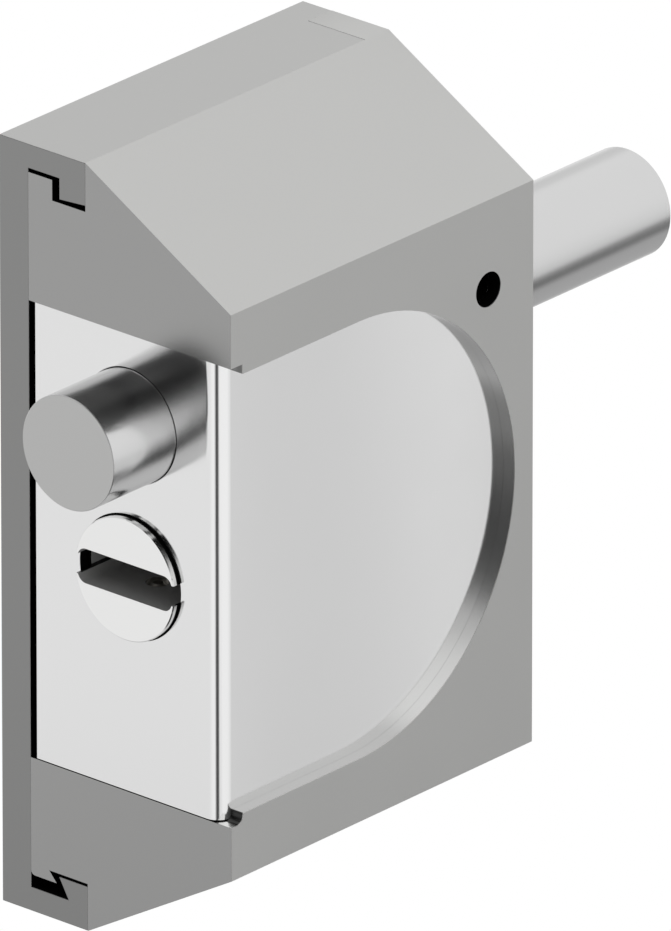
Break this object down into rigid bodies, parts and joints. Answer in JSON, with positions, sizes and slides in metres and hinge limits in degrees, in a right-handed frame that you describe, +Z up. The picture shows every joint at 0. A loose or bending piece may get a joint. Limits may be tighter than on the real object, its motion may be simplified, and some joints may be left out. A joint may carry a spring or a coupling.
{
  "type": "roller shutter lock",
  "caption": "Roller shutter lock: push-button sliding round bolt and key plug in a steel body, inside a trapezoid housing hooked onto a screw-on wall plate.",
  "frame": {"origin": "centre of the mounting plate's back face, which lies on the shutter or wall", "axes": "+X along the bolt, towards its free end; +Y into the wall; +Z up"},
  "size_m": [0.098, 0.035, 0.0954],
  "materials": {
    "plate_metal": "fine matte, satin anodised",
    "housing_metal": "fine matte, satin anodised",
    "body_steel": "fine vertical brush",
    "bolt_steel": "ground round bar",
    "button_steel": "ground sides, matte face",
    "plug_chrome": "polished",
    "inner_steel": "machined",
    "screw_steel": "hardened, dark",
    "spring_steel": "drawn wire",
    "pin_brass": "turned"
  },
  "bodies": {
    "case": {"mounting_plate": "plate_metal", "housing": "housing_metal", "lock_body": "body_steel", "body_cover": "body_steel", "cover_screws": "screw_steel", "spring_ring": "inner_steel", "ring_grub_screw": "screw_steel", "return_spring": "spring_steel", "stop_pin": "screw_steel", "driver_pins": "pin_brass", "pin_springs": "spring_steel", "chamber_plugs": "pin_brass", "anti_drill_pins": "screw_steel"},
    "rod": {"bolt": "bolt_steel", "push_button": "button_steel", "button_pin": "screw_steel"},
    "key_plug": {"cylinder_plug": "plug_chrome", "drive_pin": "inner_steel", "plug_clip": "spring_steel", "key_pins": "pin_brass"},
    "slide": {"locking_slide": "inner_steel"}
  },
  "joints": [
    {"name": "bolt_slide", "type": "slide", "parent": "case", "child": "rod", "axis": [1, 0, 0], "range_m": [0, 0.01], "stiffness_N_per_m": 800, "springref_m": -0.006, "deforming": ["return_spring"]},
    {"name": "plug_turn", "type": "hinge", "parent": "case", "child": "key_plug", "pos_m": [0, -0.01975, -0.00155], "axis": [1, 0, 0], "range_deg": [0, 90]},
    {"name": "locking_slide_lift", "type": "slide", "parent": "case", "child": "slide", "axis": [0, 0, 1], "range_m": [0, 0.0026]}
  ],
  "couplings": [
    {"joint": "locking_slide_lift", "follows": "plug_turn", "m_per_rad": 0.0016565}
  ]
}
